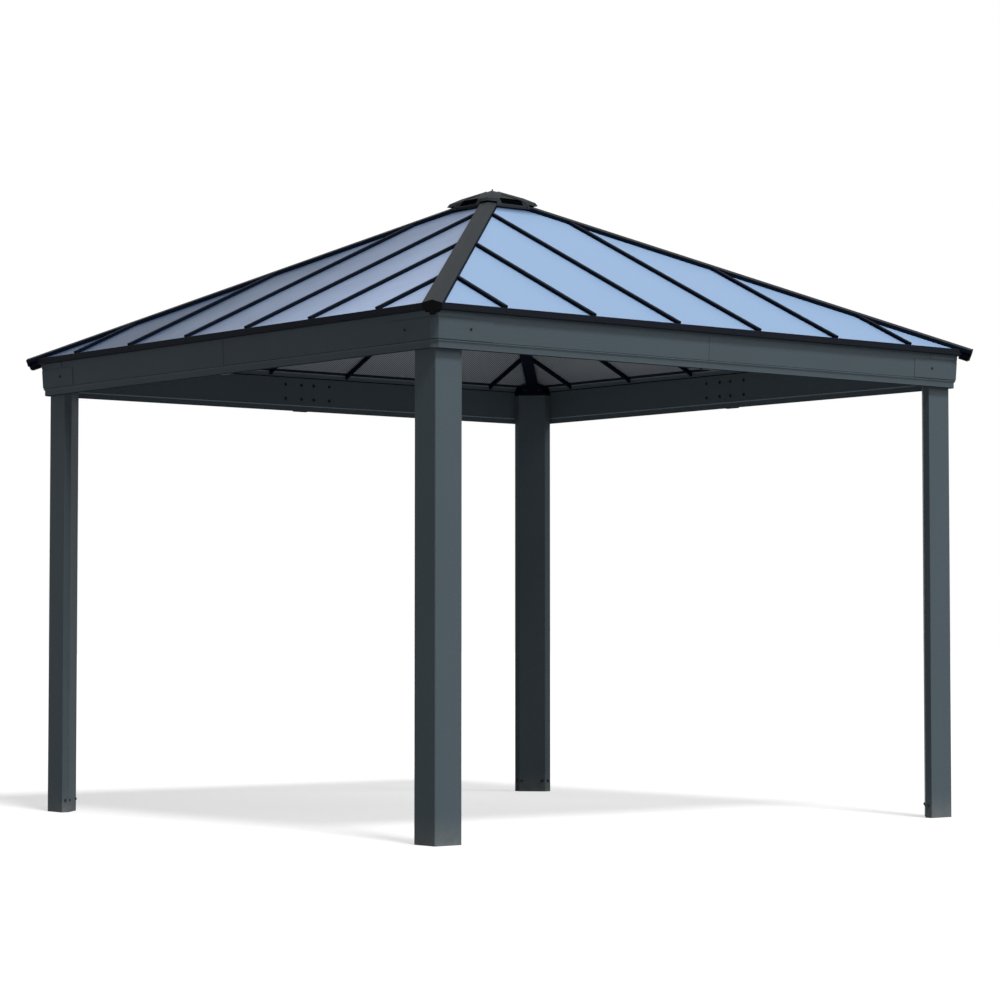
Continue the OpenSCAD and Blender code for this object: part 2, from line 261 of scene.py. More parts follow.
def coat_material(name, colour, rough, drift=0.12, speckle=0.25, on_top=0.1, splash=0.5, bump=0.12,
                  cells=420.0, sheen=0.04):
    """A coated surface: colour, tone, dust, varied roughness and a fine bump."""
    material = bpy.data.materials.new(name)
    material.use_nodes = True
    tree = material.node_tree
    shader = tree.nodes["Principled BSDF"]
    coordinates = tree.nodes.new("ShaderNodeTexCoord")
    texture = tree.nodes.new("ShaderNodeGroup")
    texture.node_tree = powder
    texture.inputs["Cells"].default_value = cells
    texture.inputs["Drift"].default_value = drift
    texture.inputs["Speckle"].default_value = speckle
    film = tree.nodes.new("ShaderNodeGroup")
    film.node_tree = dust
    film.inputs["On Top"].default_value = on_top
    film.inputs["Splash"].default_value = splash
    wire(tree, coordinates.outputs["Object"], texture.inputs["Vector"])
    wire(tree, coordinates.outputs["Object"], film.inputs["Vector"])
    toned = tree.nodes.new("ShaderNodeVectorMath")
    toned.operation = "SCALE"
    toned.inputs[0].default_value = colour[:3]
    wire(tree, texture.outputs["Tone"], toned.inputs["Scale"])
    dusted = tree.nodes.new("ShaderNodeMix")
    dusted.data_type = "RGBA"
    dusted.inputs[7].default_value = DUST_COLOUR
    wire(tree, film.outputs["Mask"], dusted.inputs[0])
    wire(tree, toned.outputs[0], dusted.inputs[6])
    wire(tree, dusted.outputs[2], shader.inputs["Base Color"])
    dull = math_node(tree, "MULTIPLY", film.outputs["Mask"], DUST_DULLS)
    wire(tree, math_node(tree, "ADD", dull, rough, True), shader.inputs["Roughness"])
    shader.inputs["Specular IOR Level"].default_value = sheen
    relief = tree.nodes.new("ShaderNodeBump")
    relief.inputs["Strength"].default_value = bump
    relief.inputs["Distance"].default_value = COAT_RELIEF
    wire(tree, texture.outputs["Height"], relief.inputs["Height"])
    wire(tree, relief.outputs[0], shader.inputs["Normal"])
    return material


POST_COAT = coat_material("slate_coat", (0.0655, 0.0855, 0.0985, 1), 0.52)
RAIL_COAT = coat_material("dark_rail_coat", (0.0080, 0.0100, 0.0145, 1), 0.6, on_top=0.05,
                          sheen=0.03)
RAFTER_COAT = coat_material("near_black_coat", (0.0035, 0.0060, 0.0125, 1), 0.6, on_top=0.02,
                            sheen=0.01)
HIP_COAT = coat_material("charcoal_coat", (0.0255, 0.0290, 0.0330, 1), 0.6, on_top=0.02,
                         sheen=0.01)
MOULDING = coat_material("black_moulding", (0.0060, 0.0062, 0.0070, 1), 0.6, on_top=0.02,
                         cells=900.0, bump=0.2, sheen=0.02)
PLATE = coat_material("coated_plate", (0.0200, 0.0215, 0.0235, 1), 0.6)
SCREW = coat_material("blackened_screw", (0.0120, 0.0130, 0.0145, 1), 0.45, drift=0.05,
                      speckle=0.05)
# A slightly darker copy of the post coat: painted shade for the beams, which get less light than
# the posts.
SHADED_BEAM_COAT = coat_material("slate_coat_with_painted_shade", (0.0595, 0.0785, 0.0905, 1), 0.52)
# A lighter copy of the beam coat: a painted highlight on the inner lips and foot strips of the
# beams.
PAINTED_HIGHLIGHT_COAT = coat_material("painted_highlight_coat", (0.1850, 0.2300, 0.2600, 1), 0.45)
# A darker copy of the beam coat: painted shade on the undersides of the beams.
SHADED_COAT = coat_material("shaded_slate_coat", (0.0280, 0.0360, 0.0420, 1), 0.6, sheen=0.0)
# Near black: painted shadow for the dark line under the beams' inner lip and for the dark inside
# of the hood's slots.
SHADOW_BLACK = coat_material("painted_shadow_black", (0.0018, 0.0020, 0.0026, 1), 0.8, on_top=0.0, splash=0.0,
                           sheen=0.0)
print("coats", [m.name for m in (POST_COAT, RAIL_COAT, RAFTER_COAT, HIP_COAT, MOULDING, PLATE,
                                 SCREW, SHADED_BEAM_COAT, PAINTED_HIGHLIGHT_COAT, SHADED_COAT, SHADOW_BLACK)])

# %% [markdown]
# The glazing is tinted twin-wall sheet. Faces that look up are a pale blue with a low sheen,
# which is partly the tint and partly a painted reflection of the bright sky, and faces that look
# down are a darker grey with dark ribs, so from inside the roof looks like smoked glass with fine
# ribs. One material does both, by the Underside output of the group. The slope that faces -X
# mixes in painted shade, darker towards the back, and the sheet darkens with painted shade in the
# last centimetres below the hood.

# %% Glazing material
# The pale blue of the top skin is partly its tint and partly a painted reflection of the bright
# sky.
SKIN_BLUE, SKIN_RIB = (0.2080, 0.3230, 0.5040, 1), (0.1360, 0.2150, 0.3580, 1)
SKIN_CLOUD = (0.2610, 0.3600, 0.5220, 1)
# Painted shade on the slope that faces -X, from its light front to its dark back.
SIDE_SHADE_LIGHT, SIDE_SHADE_DARK = (0.2900, 0.3850, 0.5850, 1), (0.0220, 0.0480, 0.1000, 1)
HOOD_SHADE = (0.0200, 0.0350, 0.0900, 1)
CORE_GREY, CORE_RIB = (0.2550, 0.2770, 0.3050, 1), (0.0120, 0.0140, 0.0180, 1)
PANE_DUST = (0.5000, 0.5000, 0.4800, 1)
GLAZING = bpy.data.materials.new("twin_wall_glazing")
GLAZING.use_nodes = True
tree = GLAZING.node_tree
shader = tree.nodes["Principled BSDF"]
coordinates = tree.nodes.new("ShaderNodeTexCoord")
ribs = tree.nodes.new("ShaderNodeGroup")
ribs.node_tree = flutes
film = tree.nodes.new("ShaderNodeGroup")
film.node_tree = dust
film.inputs["On Top"].default_value = 0.04
cloud = tree.nodes.new("ShaderNodeTexNoise")
cloud.inputs["Scale"].default_value = 1.1
side_shade_node = tree.nodes.new("ShaderNodeGroup")
side_shade_node.node_tree = side_shade
for node in (ribs, film, cloud, side_shade_node):
    wire(tree, coordinates.outputs["Object"], node.inputs["Vector"])


top_faint = math_node(tree, "MULTIPLY", ribs.outputs["Rib"], 0.05)
skin_top = mixed(tree, top_faint, SKIN_BLUE, SKIN_RIB)
cloudy = math_node(tree, "MULTIPLY", cloud.outputs[0], 0.12)
skin_top = mixed(tree, cloudy, skin_top, SKIN_CLOUD)
# Painted shade: the slope that faces -X darkens towards the back.
skin_left = mixed(tree, side_shade_node.outputs["Along"], SIDE_SHADE_LIGHT, SIDE_SHADE_DARK)
skin_top = mixed(tree, side_shade_node.outputs["Side"], skin_top, skin_left)
height = tree.nodes.new("ShaderNodeSeparateXYZ")
wire(tree, coordinates.outputs["Object"], height.inputs[0])
SHADE_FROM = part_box("vent_hood")[0].z - 0.045
near_hood = math_node(tree, "SUBTRACT", height.outputs["Z"], SHADE_FROM)
near_hood = math_node(tree, "MULTIPLY", near_hood, 22.0, True)
skin_top = mixed(tree, near_hood, skin_top, HOOD_SHADE)
under_faint = math_node(tree, "MULTIPLY", ribs.outputs["Rib"], 0.9)
skin_under = mixed(tree, under_faint, CORE_GREY, CORE_RIB)
skin = mixed(tree, ribs.outputs["Underside"], skin_top, skin_under)
skin = mixed(tree, film.outputs["Mask"], skin, PANE_DUST)
wire(tree, skin, shader.inputs["Base Color"])
shader.inputs["Roughness"].default_value = 0.5
shader.inputs["Specular IOR Level"].default_value = 0.06
relief = tree.nodes.new("ShaderNodeBump")
relief.inputs["Strength"].default_value = 0.15
relief.inputs["Distance"].default_value = 0.0005
wire(tree, ribs.outputs["Rib"], relief.inputs["Height"])
wire(tree, relief.outputs[0], shader.inputs["Normal"])
print("glazing", GLAZING.name)

# %% [markdown]
# Modelling is done with the same operators that the menus have. These helpers only select: they
# clear the selection, make one piece active, enter edit mode, and pick faces or edges by where
# they are and which way they face.

# %% Selection helpers
def take(*pieces):
    """Selects only these pieces, with the last one active."""
    bpy.ops.object.select_all(action="DESELECT")
    for piece in pieces:
        piece.select_set(True)
    bpy.context.view_layer.objects.active = pieces[-1]


def edit(piece):
    """Enters edit mode on one piece."""
    take(piece)
    bpy.ops.object.mode_set(mode="EDIT")


def done():
    """Leaves edit mode."""
    bpy.ops.object.mode_set(mode="OBJECT")


def pick(piece, kind, test):
    """Selects the faces or edges that pass the test, and returns how many."""
    bpy.ops.mesh.select_mode(type=kind)
    bpy.ops.mesh.select_all(action="DESELECT")
    mesh = bmesh.from_edit_mesh(piece.data)
    chosen = [part for part in (mesh.faces if kind == "FACE" else mesh.edges) if test(part)]
    for part in chosen:
        part.select_set(True)
    mesh.select_flush_mode()
    bmesh.update_edit_mesh(piece.data)
    return len(chosen)


SHARP, FOLD = math.radians(40), math.radians(20)


def is_fold(edge):
    """True on an outward fold, where two faces meet at more than 20 degrees."""
    return len(edge.link_faces) == 2 and edge.is_convex and edge.calc_face_angle() > FOLD


def finish_piece(piece, name, material, slot, *nodes):
    """Smooth shading, weighted normals, name, finish, body, and the nodes that it stands for."""
    take(piece)
    bpy.ops.object.transform_apply(location=True, rotation=True, scale=True)
    bpy.ops.object.shade_smooth_by_angle(angle=SHARP)
    bpy.ops.object.modifier_add(type="WEIGHTED_NORMAL")
    piece.modifiers[-1].keep_sharp = True
    bpy.ops.object.modifier_apply(modifier=piece.modifiers[-1].name)
    piece.name = name
    piece.data.name = name
    piece.data.materials.clear()
    piece.data.materials.append(material)
    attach(piece, "root")
    if nodes:
        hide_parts(*nodes)
    return piece


def second_finish(piece, material, test):
    """Gives the faces that pass the test another material on the same piece."""
    piece.data.materials.append(material)
    count = 0
    for face in piece.data.polygons:
        if test(face):
            face.material_index = len(piece.data.materials) - 1
            count += 1
    return count


def merged_copy(name, *nodes):
    """A copy of construction nodes as one clean mesh: triangles merged back into flat faces."""
    copies = []
    for node in nodes:
        copy = bpy.data.objects.new(name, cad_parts[node].data.copy())
        bpy.context.scene.collection.objects.link(copy)
        copies.append(copy)
    take(*copies)
    if len(copies) > 1:
        bpy.ops.object.join()
    piece = bpy.context.view_layer.objects.active
    edit(piece)
    bpy.ops.mesh.select_all(action="SELECT")
    bpy.ops.mesh.remove_doubles(threshold=0.00002)
    bpy.ops.mesh.dissolve_limited(angle_limit=math.radians(0.3))
    bpy.ops.mesh.normals_make_consistent(inside=False)
    done()
    return piece


def round_over(piece, test, width, steps):
    """Rounds the edges that pass the test, and returns how many there were."""
    edit(piece)
    count = pick(piece, "EDGE", test)
    if count:
        bpy.ops.mesh.bevel(offset=width, segments=steps, profile=0.5, affect="EDGES",
                           clamp_overlap=False)
    done()
    return count


print("modelling helpers ready")

# %% [markdown]
# A post is one folded sheet. The brake leaves a radius of six millimetres on the outer arris, and
# of three where the returns turn in. A sharp edge would show as a hard line, and the real one
# shows as a thin bright strip. So each post is a merged copy of its construction node whose
# upright folds are rounded.

# %% Posts
def upright(edge):
    """True on an edge that runs straight up."""
    run = (edge.verts[0].co - edge.verts[1].co).normalized()
    return abs(run.z) > 0.99


POST_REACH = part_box("post_front_right")[1].x
BEAM_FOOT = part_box("beam_front_a")[0].z
for corner_name in CORNERS:
    post = merged_copy("post", "post_" + corner_name)
    arris = round_over(post, lambda e: is_fold(e) and upright(e)
                       and min(abs(v.co.x) for v in e.verts) > POST_REACH - 0.001
                       and min(abs(v.co.y) for v in e.verts) > POST_REACH - 0.001, 0.006, 4)
    folds = round_over(post, lambda e: is_fold(e) and upright(e)
                       and e.calc_face_angle() > SHARP, 0.003, 3)
    finish_piece(post, "folded_post_" + corner_name, POST_COAT, "post_coat",
                 "post_" + corner_name)
print("posts: arris edges", arris, "other folds", folds)

# %% [markdown]
# The beams, the eave rails, the rafters, the hip covers and the hub are folded or extruded too.
# Each gets the radius of its own metal: one millimetre on the thin sheet of a beam, one and a
# half on a rail, two and a half on the snap cap of a rafter. The lip at the top of a beam's inner
# side gets a lighter coat as a painted highlight, and the underside of a beam a darker coat as
# painted shade.

# %% Folded and extruded sections
LIP_FROM = 0.216
for side in SIDES:
    for half in ("a", "b"):
        node = "beam_" + side + "_" + half
        beam = merged_copy(node, node)
        round_over(beam, is_fold, 0.0009, 2)
        # The beams take the darker copy of the post coat, as painted shade.
        finish_piece(beam, "folded_" + node, SHADED_BEAM_COAT, "beam_coat", node)
        inward = QUARTER[SIDES.index(side)] @ Vector((0, 1, 0))
        # Painted highlight on the upper inner lip of the beam.
        lips = second_finish(beam, PAINTED_HIGHLIGHT_COAT, lambda f: f.normal.dot(inward) > 0.9
                             and f.center.z > BEAM_FOOT + LIP_FROM)
        # Painted shade on the underside of the beam.
        second_finish(beam, SHADED_COAT, lambda f: f.normal.z < -0.9)
    node = "eave_rail_" + side
    rail = merged_copy(node, node)
    round_over(rail, is_fold, 0.0015, 2)
    finish_piece(rail, "folded_" + node, RAIL_COAT, "dark_section", node)
    node = "rafters_" + side
    rafter = merged_copy(node, node)
    edges = round_over(rafter, lambda e: is_fold(e) and e.calc_length() > 0.02, 0.0025, 2)
    finish_piece(rafter, "extruded_" + node, RAFTER_COAT, "dark_section", node)
print("beams, rails and rafters done, with", edges, "edges rounded and", lips, "bright lip faces")

# %% [markdown]
# A hip cover is charcoal where it looks up, and its sides take the near-black rafter coat as
# painted shade. The hub under the hood is turned, with softened edges.

# %% Hips and hub
for corner_name in CORNERS:
    node = "hip_cover_" + corner_name
    cover = merged_copy(node, node)
    round_over(cover, is_fold, 0.002, 2)
    finish_piece(cover, "folded_" + node, HIP_COAT, "hip_coat", node)
    # Painted shade: the sides of the cover take the near-black coat.
    second_finish(cover, RAFTER_COAT, lambda face: face.normal.z < 0.5)
hub = merged_copy("apex_hub", "apex_hub")
round_over(hub, is_fold, 0.003, 2)
finish_piece(hub, "turned_apex_hub", RAFTER_COAT, "dark_section", "apex_hub")
print("hip covers and hub done")

# %% [markdown]
# Small parts repeat a lot, so each is modelled once, standing on the origin with its head up, and
# copied with its own mesh to every place. A flange bolt starts as a six-sided prism: its upper
# edges are bevelled, its top is inset and pushed down a little, and a flange is added below. A
# screw is a low round head with a recess.

# %% Flange bolt and pan-head screw
def flange_bolt(radius):
    """A hexagon head on a round flange. The seat is at the origin and the head points up."""
    bpy.ops.object.select_all(action="DESELECT")
    bpy.ops.mesh.primitive_cylinder_add(vertices=6, radius=radius, depth=radius * 0.9,
                                        location=(0, 0, radius * 0.55))
    head = bpy.context.view_layer.objects.active
    edit(head)
    pick(head, "EDGE", lambda e: min(v.co.z for v in e.verts) > 0)
    bpy.ops.mesh.bevel(offset=radius * 0.14, segments=1, affect="EDGES")
    pick(head, "FACE", lambda f: f.normal.z > 0.99)
    bpy.ops.mesh.inset(thickness=radius * 0.15, depth=-radius * 0.06)
    done()
    bpy.ops.object.select_all(action="DESELECT")
    bpy.ops.mesh.primitive_cylinder_add(vertices=16, radius=radius * 1.4, depth=radius * 0.22,
                                        location=(0, 0, radius * 0.11))
    flange = bpy.context.view_layer.objects.active
    edit(flange)
    pick(flange, "FACE", lambda f: f.normal.z > 0.99)
    bpy.ops.mesh.inset(thickness=radius * 0.3, depth=radius * 0.08)
    done()
    take(head, flange)
    bpy.ops.object.join()
    bpy.ops.object.transform_apply(location=True, rotation=True, scale=True)
    return flange


def pan_screw(radius):
    """A low round head with a hexagon recess. The seat is at the origin."""
    bpy.ops.object.select_all(action="DESELECT")
    bpy.ops.mesh.primitive_cylinder_add(vertices=12, radius=radius, depth=radius * 0.6,
                                        location=(0, 0, radius * 0.3))
    head = bpy.context.view_layer.objects.active
    edit(head)
    pick(head, "EDGE", lambda e: min(v.co.z for v in e.verts) > 0)
    bpy.ops.mesh.bevel(offset=radius * 0.3, segments=2, affect="EDGES")
    pick(head, "FACE", lambda f: f.normal.z > 0.99)
    bpy.ops.mesh.inset(thickness=radius * 0.28, depth=0)
    bpy.ops.mesh.inset(thickness=radius * 0.03, depth=-radius * 0.25)
    done()
    bpy.ops.object.transform_apply(location=True, rotation=True, scale=True)
    return head


BOLT = flange_bolt(0.0065)
SCREW_HEAD = pan_screw(0.0045)
print("bolt", len(BOLT.data.polygons), "faces, screw", len(SCREW_HEAD.data.polygons), "faces")

# %% [markdown]
# Two functions put the copies in place. One gives the matrix that stands a part on a surface, and
# the other makes one piece out of a copy at every place.

# %% Copies in place
def seat(place, outward, quarter=0):
    """The matrix that stands a part on a surface point, for a side turned by some quarters."""
    turn = Vector(outward).to_track_quat("Z", "Y").to_matrix().to_4x4()
    return QUARTER[quarter] @ Matrix.Translation(Vector(place)) @ turn


def placed(model, places, name, material, slot):
    """One piece made of a copy of the model at every place."""
    copies = []
    for place in places:
        copy = bpy.data.objects.new(name, model.data.copy())
        copy.data.transform(place)
        bpy.context.scene.collection.objects.link(copy)
        copies.append(copy)
    take(*copies)
    bpy.ops.object.join()
    piece = bpy.context.view_layer.objects.active
    return finish_piece(piece, name, material, slot)


print("placing helpers ready")

# %% [markdown]
# Some places are read from the construction model: the outer and inner faces of a beam and the
# face of an eave rail. The rafters are six to a side at a given even pitch.

# %% Measures
BEAM_OUT = -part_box("beam_front_a")[0].y
RAIL_OUT = -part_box("eave_rail_front")[0].y
POST_WIDTH, POST_RETURN = 0.155, 0.042
BEAM_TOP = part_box("eave_rail_front")[0].z
RAFTER_PITCH = 0.5425
RAFTERS = [(i - 2.5) * RAFTER_PITCH for i in range(6)]
SEAM = 0.040
SEAM_AT = [-SEAM, -SEAM, SEAM, SEAM]
print("beam outer face", round(BEAM_OUT, 3), "inner", round(POST_REACH, 3),
      "rail", round(RAIL_OUT, 3))

# %% [markdown]
# Eight bolts hold each splice inside a beam, and one bolt each end of a beam. Small screws fix the
# rafters to the eave rail, outside and inside. Four bolts go through the foot of each post.

# %% Fasteners
SPLICE_ACROSS, SPLICE_UP = (-0.155, -0.044, 0.044, 0.155), (0.068, 0.150)
CORNER_BOLT, CORNER_UP = 1.545, 0.093
RAIL_SCREW_UP = 0.014
TAB_IN, TAB_UP = POST_REACH - 0.022, 0.208
FOOT_UP, FOOT_SPREAD = 0.065, 0.045
splice = [seat((across, -POST_REACH, BEAM_FOOT + up), (0, 1, 0), k)
          for k in range(4) for across in SPLICE_ACROSS for up in SPLICE_UP]
placed(BOLT, splice, "splice_bolts", SCREW, "steel_plate")
corner = [seat((end * CORNER_BOLT, 0.0035 - BEAM_OUT, BEAM_FOOT + CORNER_UP), (0, -1, 0), k)
          for k in range(4) for end in (-1, 1)]
placed(BOLT, corner, "corner_bolts", SCREW, "steel_plate")
fascia = [seat((x, -RAIL_OUT, BEAM_TOP + RAIL_SCREW_UP), (0, -1, 0), k)
          for k in range(4) for x in RAFTERS]
placed(SCREW_HEAD, fascia, "eave_screws", SCREW, "steel_plate")
tabs = [seat((x, -TAB_IN, BEAM_FOOT + TAB_UP), (0, 1, 0), k) for k in range(4) for x in RAFTERS]
placed(SCREW_HEAD, tabs, "rafter_tab_screws", SCREW, "steel_plate")
DIAGONAL = (2 * POST_REACH - POST_WIDTH - POST_RETURN) / 2
RETURN_MIDDLE = POST_REACH - POST_RETURN / 2
feet = []
for k in range(4):
    feet += [seat((-RETURN_MIDDLE, POST_WIDTH - POST_REACH, FOOT_UP), (0, 1, 0), k),
             seat((POST_WIDTH - POST_REACH, -RETURN_MIDDLE, FOOT_UP), (1, 0, 0), k)]
    for off in (-FOOT_SPREAD, FOOT_SPREAD):
        feet.append(seat((off - DIAGONAL, -off - DIAGONAL, FOOT_UP), (1, 1, 0), k))
placed(BOLT, feet, "foot_bolts", SCREW, "steel_plate")
print(len(splice) + len(corner) + len(fascia) + len(tabs) + len(feet), "fasteners")

# %% [markdown]
# The beam corners are wrapped by a thin sleeve with a collar above it, whose ends show as short
# lines beside each corner, and the two halves of a beam lap under a narrow strip. All are sheet
# that follows the face of the beam. So they are made from that face: a copy of the beams is cut
# down to the area wanted with bisect, and Solidify gives it thickness on the outside.

# %% Lapped sheet
def cut_away(piece, point, normal):
    """Bisects a piece and removes what lies on the normal's side of the plane."""
    edit(piece)
    bpy.ops.mesh.select_mode(type="FACE")
    bpy.ops.mesh.select_all(action="SELECT")
    bpy.ops.mesh.bisect(plane_co=point, plane_no=normal, clear_outer=True)
    done()


def keep_faces(piece, test):
    """Deletes the faces that fail the test."""
    edit(piece)
    pick(piece, "FACE", lambda f: not test(f))
    bpy.ops.mesh.delete(type="FACE")
    done()


def thicken(piece, thickness):
    """Solid sheet, grown outwards from the face."""
    take(piece)
    bpy.ops.object.modifier_add(type="SOLIDIFY")
    piece.modifiers[-1].thickness = thickness
    piece.modifiers[-1].offset = 1
    piece.modifiers[-1].use_even_offset = True
    bpy.ops.object.modifier_apply(modifier=piece.modifiers[-1].name)


OUTSIDE = POST_REACH + 0.02
SHEET_FOOT = BEAM_FOOT + 0.042
SLEEVE_TOP, SLEEVE_END = BEAM_FOOT + 0.138, 1.415
COLLAR_FOOT, COLLAR_END = BEAM_FOOT + 0.143, 1.530
SLEEVE_SHEET = 0.0025


def outer_skin(name, k, low, top, end):
    """Sheet over the outer faces of two beams around a corner, between two levels."""
    skin = merged_copy(name, "beam_" + SIDES[k] + "_a", "beam_" + SIDES[k - 1] + "_b")
    ahead, aside = QUARTER[k] @ Vector((0, -1, 0)), QUARTER[k] @ Vector((-1, 0, 0))
    outward = (ahead + aside).normalized()
    keep_faces(skin, lambda f: abs(f.normal.z) < 0.5
               and max(f.normal.dot(ahead), f.normal.dot(aside), f.normal.dot(outward)) > 0.9
               and max(f.calc_center_median().dot(ahead),
                       f.calc_center_median().dot(aside)) > OUTSIDE)
    cut_away(skin, (0, 0, top), (0, 0, 1))
    cut_away(skin, (0, 0, low), (0, 0, -1))
    cut_away(skin, tuple(aside * end + ahead * POST_REACH), tuple(-aside))
    cut_away(skin, tuple(ahead * end + aside * POST_REACH), tuple(-ahead))
    thicken(skin, SLEEVE_SHEET)
    round_over(skin, is_fold, 0.0005, 1)
    return skin


for k, corner_name in enumerate(CORNERS):
    lower = outer_skin("sleeve", k, SHEET_FOOT, SLEEVE_TOP, SLEEVE_END)
    upper = outer_skin("collar", k, COLLAR_FOOT, BEAM_TOP - 0.001, COLLAR_END)
    take(upper, lower)
    bpy.ops.object.join()
    finish_piece(lower, "corner_sleeve_" + corner_name, SHADED_BEAM_COAT, "beam_coat")
    print("sleeve", corner_name, len(lower.data.polygons), "faces")

# %% [markdown]
# A seam strip is the same kind of sheet. It starts just past the seam of its beam and covers the
# half that the copy came from.

# %% Seam strips
STRIP_LAP, STRIP_SHEET = 0.012, 0.0015
for k, side in enumerate(SIDES):
    strip = merged_copy("strip", "beam_" + side + "_a")
    ahead, along = QUARTER[k] @ Vector((0, -1, 0)), QUARTER[k] @ Vector((1, 0, 0))
    keep_faces(strip, lambda f: f.normal.dot(ahead) > 0.9
               and f.calc_center_median().dot(ahead) > OUTSIDE)
    cut_away(strip, tuple(along * (SEAM_AT[k] - STRIP_LAP)), tuple(-along))
    cut_away(strip, (0, 0, BEAM_TOP - 0.002), (0, 0, 1))
    cut_away(strip, (0, 0, SHEET_FOOT), (0, 0, -1))
    thicken(strip, STRIP_SHEET)
    finish_piece(strip, "seam_strip_" + side, SHADED_BEAM_COAT, "beam_coat")
    print("seam strip", side, len(strip.data.polygons), "faces")

# %% [markdown]
# The end of a hip is closed by a black moulding: a plate square to the hip, with rounded edges
# and a pointed tongue, and a short keel that runs back under the hip. The gusset at the top of a
# post is a bent plate with two bolts. The plate and the gusset start as copies of their nodes and
# get their radii. The keel is a block: its lower face is inset and narrowed, and its edges are
# bevelled.

# %% Hip ends and gussets
for corner_name in CORNERS:
    node = "hip_end_cap_" + corner_name
    plate = merged_copy(node, node)
    round_over(plate, is_fold, 0.0022, 3)
    finish_piece(plate, "moulded_" + node, MOULDING, "black_plastic", node)
gusset = merged_copy("hip_brackets", "hip_brackets")
round_over(gusset, is_fold, 0.003, 2)
finish_piece(gusset, "bent_hip_brackets", RAFTER_COAT, "dark_section", "hip_brackets")
ROOF_RISE = 0.48
HIP_TILT = math.atan(ROOF_RISE / math.sqrt(2))
APEX, EAVE_REACH = 3.315, 1.807
HIP_LENGTH = math.sqrt(2) * EAVE_REACH / math.cos(HIP_TILT)
KEEL_SIZE = (0.052, 0.028, 0.012)
KEEL_BACK, HIP_UNDER = 0.034, 0.0373
GUSSET_OUT, GUSSET_Z, GUSSET_SPREAD = 1.6215, 2.468, 0.03


def down_hip(quarter, along, across, above):
    """The matrix of a point on a hip: X runs down the hip, Z stands off the glazing."""
    return (QUARTER[quarter] @ Matrix.Translation((0, 0, APEX))
            @ Matrix.Rotation(math.radians(-135), 4, "Z") @ Matrix.Rotation(HIP_TILT, 4, "Y")
            @ Matrix.Translation((along, across, above)))


bpy.ops.object.select_all(action="DESELECT")
bpy.ops.mesh.primitive_cube_add(size=1, location=(0, 0, 0))
keel = bpy.context.view_layer.objects.active
keel.scale = KEEL_SIZE
bpy.ops.object.transform_apply(location=True, rotation=True, scale=True)
edit(keel)
pick(keel, "FACE", lambda f: f.normal.z < -0.9)
bpy.ops.mesh.inset(thickness=0.003, depth=0)
bpy.ops.transform.resize(value=(0.8, 0.5, 1))
pick(keel, "EDGE", is_fold)
bpy.ops.mesh.bevel(offset=0.0012, segments=2, affect="EDGES")
done()
keels = [down_hip(k, HIP_LENGTH - KEEL_BACK, 0, -HIP_UNDER - 0.0065) for k in range(4)]
placed(keel, keels, "hip_keels", MOULDING, "black_plastic")
gusset_bolts = [seat((off - GUSSET_OUT, -off - GUSSET_OUT, GUSSET_Z), (1, 1, 0), k)
                for k in range(4) for off in (-GUSSET_SPREAD, GUSSET_SPREAD)]
placed(BOLT, gusset_bolts, "gusset_bolts", SCREW, "steel_plate")
print("hip ends, keels and gussets done")

# %% [markdown]
# The vent hood is a folded cap with a flange, a slot on each side and a saddle over each hip. The
# cap itself is a copy of its node. A saddle is made from a plane: it is extruded up through the
# levels of the hood to repeat its skin, cut down to a band along one hip, and thickened. Where it
# passes over the hip, the shape of the hip cover is cut out of it.

# %% Hood
hood = merged_copy("vent_hood", "vent_hood")
round_over(hood, is_fold, 0.0012, 2)
finish_piece(hood, "folded_vent_hood", HIP_COAT, "hip_coat", "vent_hood")
HOOD_LOW, HOOD_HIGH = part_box("vent_hood")
HOOD_REACH = HOOD_HIGH.x
LEVELS = [(HOOD_REACH, 0.014), (HOOD_REACH - 0.014, 0.040), (HOOD_REACH - 0.059, 0.066),
          (0.020, 0.107)]
SADDLE_HALF, SADDLE_SHEET = 0.056, 0.0035
bpy.ops.object.select_all(action="DESELECT")
bpy.ops.mesh.primitive_plane_add(size=2 * LEVELS[0][0], location=(0, 0, HOOD_LOW.z + 0.001))
skin = bpy.context.view_layer.objects.active
bpy.ops.object.transform_apply(location=True, rotation=True, scale=True)
edit(skin)
bpy.ops.mesh.select_all(action="SELECT")
reach, level = LEVELS[0][0], 0.001
for new_reach, new_level in LEVELS:
    bpy.ops.mesh.extrude_region_move(TRANSFORM_OT_translate={"value": (0, 0, new_level - level)})
    bpy.ops.transform.resize(value=(new_reach / reach, new_reach / reach, 1))
    reach, level = new_reach, new_level
done()
keep_faces(skin, lambda f: f.normal.z > -0.5 and f.calc_center_median().z > HOOD_LOW.z + 0.0012
           and f.normal.z < 0.99)
